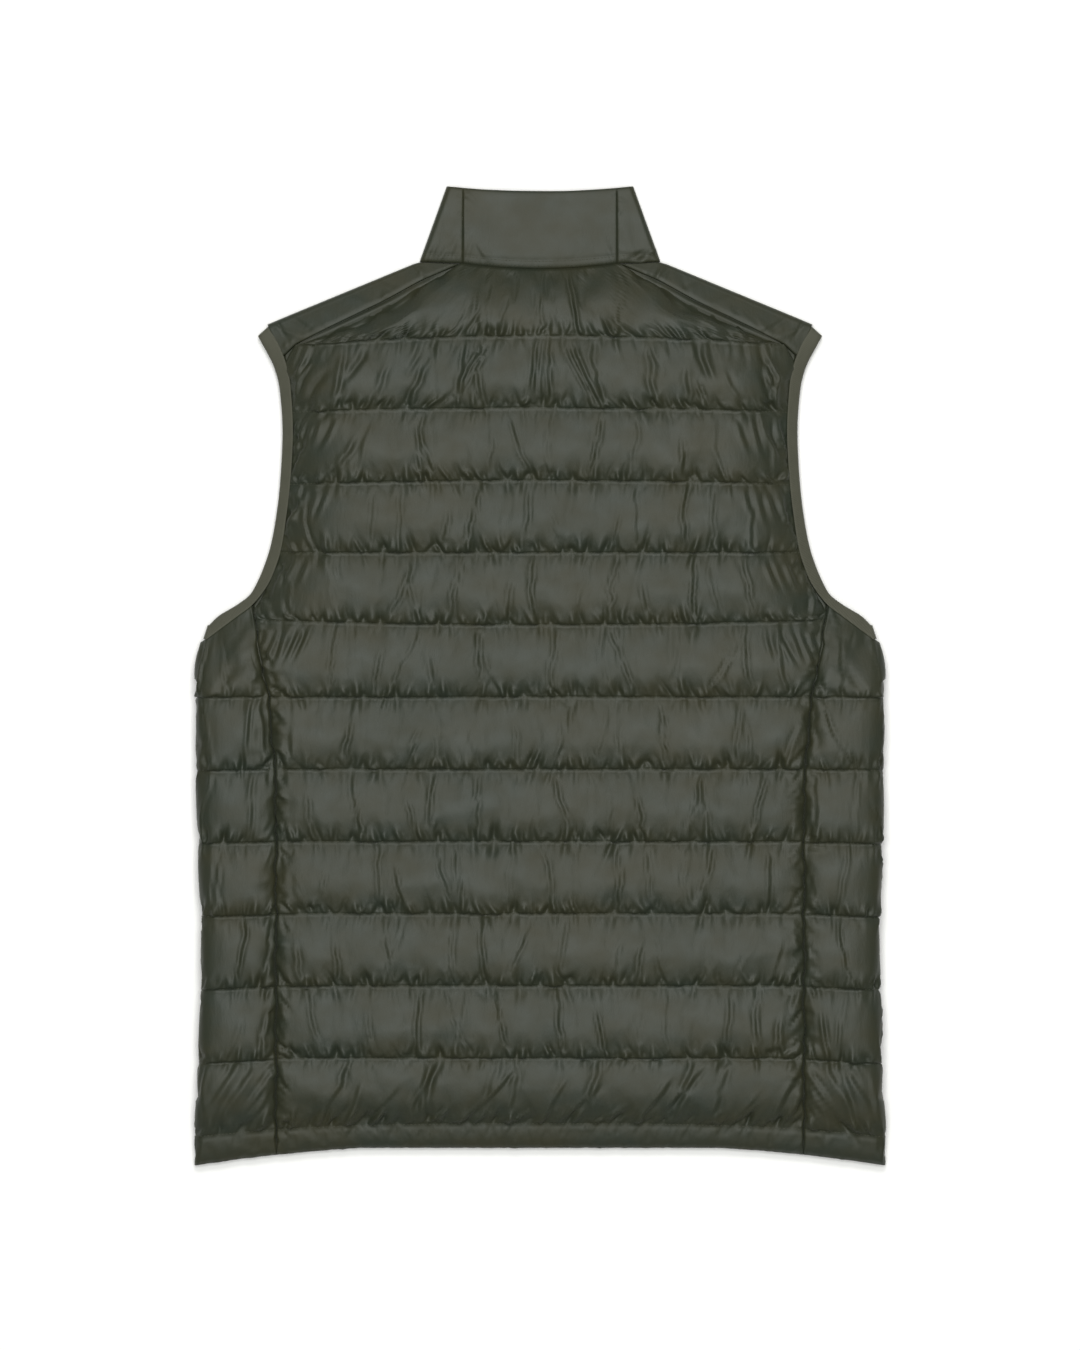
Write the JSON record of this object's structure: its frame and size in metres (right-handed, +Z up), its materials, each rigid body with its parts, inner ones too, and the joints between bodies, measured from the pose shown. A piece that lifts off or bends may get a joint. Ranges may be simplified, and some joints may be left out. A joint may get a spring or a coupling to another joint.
{
  "type": "puffer vest",
  "caption": "Sleeveless quilted vest with stand collar, bound armholes and front zip, lying flat on its front with its back up.",
  "frame": {"origin": "middle of the vest's closed outline in plan, on the surface it lies on", "axes": "+Z up out of the vest's back, +Y from the hem towards the collar, +X towards the wearer's right side"},
  "size_m": [0.5644, 0.7975, 0.0324],
  "materials": {
    "shell_nylon": "downproof woven nylon, dark olive green, soft satin sheen",
    "binding_knit": "matt elastic binding, dark olive green",
    "zip_tape": "woven polyester tape with moulded teeth, dark olive green",
    "zip_metal": "dark painted die-cast metal"
  },
  "bodies": {
    "vest": {"back_panel": "shell_nylon", "side_panel_right": "shell_nylon", "side_panel_left": "shell_nylon", "front_panel_right": "shell_nylon", "front_panel_left": "shell_nylon", "shoulder_yoke_right": "shell_nylon", "shoulder_yoke_left": "shell_nylon", "collar_back": "shell_nylon", "collar_side_right": "shell_nylon", "collar_side_left": "shell_nylon", "armhole_binding_right": "binding_knit", "armhole_binding_left": "binding_knit", "zip_right": "zip_tape", "zip_left": "zip_tape", "zip_slider": "zip_metal"},
    "pull_tab": {"zip_pull": "zip_metal"}
  },
  "joints": [
    {"name": "zip_pull_swing", "type": "hinge", "parent": "vest", "child": "pull_tab", "pos_m": [0, 0.304, 0.00256], "axis": [1, 0, 0], "range_deg": [0, 165]}
  ]
}
